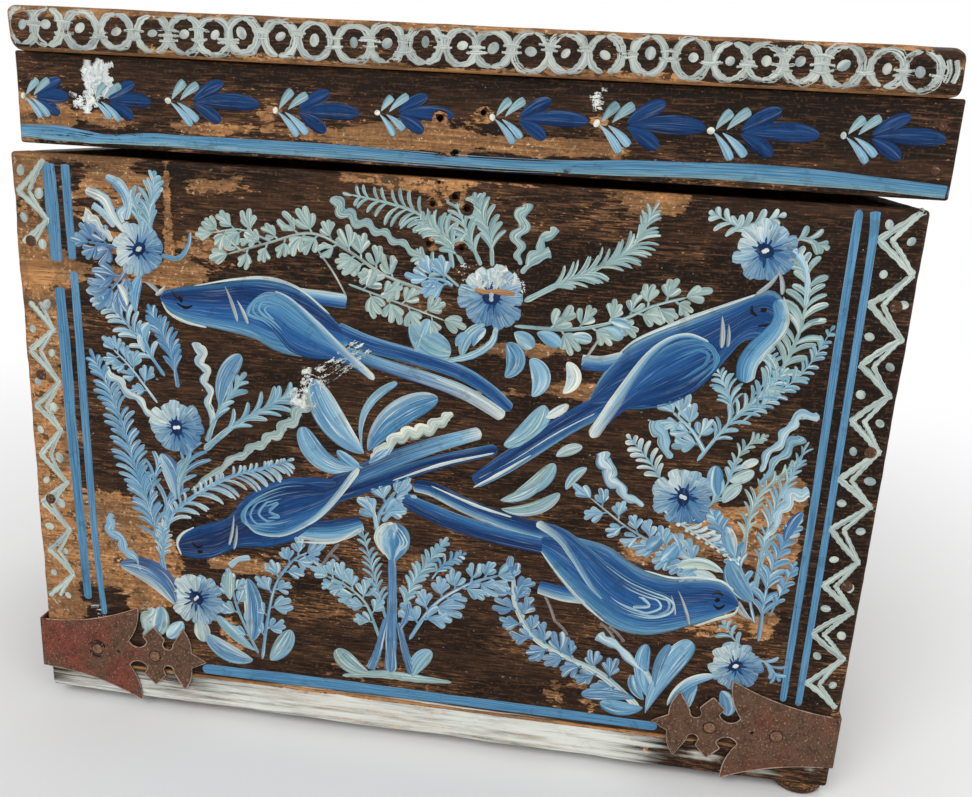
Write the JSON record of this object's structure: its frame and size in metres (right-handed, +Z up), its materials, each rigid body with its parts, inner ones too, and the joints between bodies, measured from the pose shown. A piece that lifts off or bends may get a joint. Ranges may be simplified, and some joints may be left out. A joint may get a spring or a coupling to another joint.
{
  "type": "painted wooden chest",
  "caption": "Worn painted wooden chest with a hinged flat lid, sheet-iron corner straps and low bun feet, for keeping things in.",
  "frame": {"origin": "centre of the whole object's box, on the floor under the feet", "axes": "+Z up, +X along the chest's width to the viewer's right, +Y from the front to the hinged back"},
  "size_m": [0.5734, 0.391, 0.4822],
  "materials": {
    "painted_wood": "worn dark brown paint with bare wood showing and blue and white brushed ornament",
    "bare_wood": "bare worn board with smears of white paint",
    "rusty_iron": "old sheet iron, dull brown rust"
  },
  "bodies": {
    "chest": {"front_board": "painted_wood", "back_board": "painted_wood", "left_side_board": "painted_wood", "right_side_board": "painted_wood", "bottom_board": "bare_wood", "foot_front_left": "painted_wood", "foot_front_right": "painted_wood", "foot_back_left": "painted_wood", "foot_back_right": "painted_wood", "corner_strap_front_left": "rusty_iron", "corner_strap_front_right": "rusty_iron", "corner_strap_back_left": "rusty_iron", "corner_strap_back_right": "rusty_iron", "strap_nails": "rusty_iron", "carcase_nails": "rusty_iron", "bottom_nails": "rusty_iron", "left_hinge_body_leaf": "rusty_iron", "right_hinge_body_leaf": "rusty_iron", "left_hinge_pin": "rusty_iron", "right_hinge_pin": "rusty_iron", "hinge_body_nails": "rusty_iron"},
    "lid": {"lid_top_board": "painted_wood", "lid_front_rail": "painted_wood", "lid_back_rail": "painted_wood", "lid_left_rail": "painted_wood", "lid_right_rail": "painted_wood", "lid_board_nails": "rusty_iron", "lid_rail_nails": "rusty_iron", "left_hinge_lid_leaf": "rusty_iron", "right_hinge_lid_leaf": "rusty_iron", "hinge_lid_nails": "rusty_iron"}
  },
  "joints": [
    {"name": "lid_hinge", "type": "hinge", "parent": "chest", "child": "lid", "pos_m": [-0.00125, 0.19145, 0.39515], "axis": [-1, 0, 0], "range_deg": [0, 180]}
  ]
}
